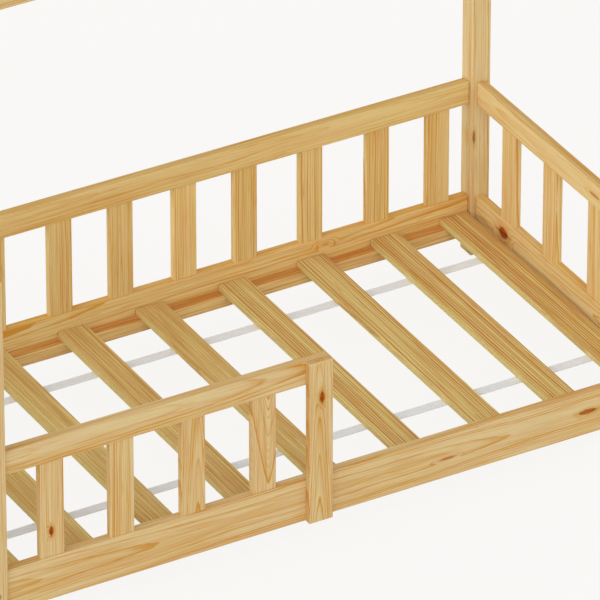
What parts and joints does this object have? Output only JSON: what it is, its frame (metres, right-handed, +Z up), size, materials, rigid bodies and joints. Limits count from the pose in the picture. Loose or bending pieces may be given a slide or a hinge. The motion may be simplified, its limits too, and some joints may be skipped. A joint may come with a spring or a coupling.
{
  "type": "house bed",
  "caption": "House-shaped pine bed frame for a child, with slatted guard rails, an open entry, a gable roof frame and a loose slatted base on ledges.",
  "frame": {"origin": "on the floor at the middle of the four feet", "axes": "+X along the bed towards the entry half, +Y from the open front to the back, +Z up"},
  "size_m": [1.674, 0.8745, 1.275],
  "materials": {
    "post_pine": "planed pine, satin",
    "rail_pine": "planed pine, satin",
    "bed_slat_pine": "planed pine, matt",
    "tongue_wood": "sawn hardwood",
    "webbing": "woven tape"
  },
  "bodies": {
    "frame": {"back_bottom_rail": "rail_pine", "back_ledge": "rail_pine", "back_slat_1": "rail_pine", "back_slat_10": "rail_pine", "back_slat_2": "rail_pine", "back_slat_3": "rail_pine", "back_slat_4": "rail_pine", "back_slat_5": "rail_pine", "back_slat_6": "rail_pine", "back_slat_7": "rail_pine", "back_slat_8": "rail_pine", "back_slat_9": "rail_pine", "back_top_rail": "rail_pine", "front_bottom_rail": "rail_pine", "front_ledge": "rail_pine", "front_slat_1": "rail_pine", "front_slat_2": "rail_pine", "front_slat_3": "rail_pine", "front_slat_4": "rail_pine", "front_top_rail": "rail_pine", "front_upright": "rail_pine", "left_bottom_rail": "rail_pine", "left_slat_1": "rail_pine", "left_slat_2": "rail_pine", "left_slat_3": "rail_pine", "left_slat_4": "rail_pine", "left_top_rail": "rail_pine", "post_back_left": "post_pine", "post_back_right": "post_pine", "post_front_left": "post_pine", "post_front_right": "post_pine", "rafter_back_left": "post_pine", "rafter_back_right": "post_pine", "rafter_front_left": "post_pine", "rafter_front_right": "post_pine", "ridge_beam": "rail_pine", "right_bottom_rail": "rail_pine", "right_slat_1": "rail_pine", "right_slat_2": "rail_pine", "right_slat_3": "rail_pine", "right_slat_4": "rail_pine", "right_top_rail": "rail_pine", "tongue_back_left": "tongue_wood", "tongue_back_right": "tongue_wood", "tongue_front_left": "tongue_wood", "tongue_front_right": "tongue_wood"},
    "slatted_base": {"bed_slat_1": "bed_slat_pine", "bed_slat_2": "bed_slat_pine", "bed_slat_3": "bed_slat_pine", "bed_slat_4": "bed_slat_pine", "bed_slat_5": "bed_slat_pine", "bed_slat_6": "bed_slat_pine", "bed_slat_7": "bed_slat_pine", "bed_slat_8": "bed_slat_pine", "bed_slat_9": "bed_slat_pine", "tape_back": "webbing", "tape_front": "webbing"}
  },
  "joints": [
    {"name": "slatted_base_lift", "type": "slide", "parent": "frame", "child": "slatted_base", "axis": [0, 0, 1], "range_m": [0, 0.35]}
  ]
}
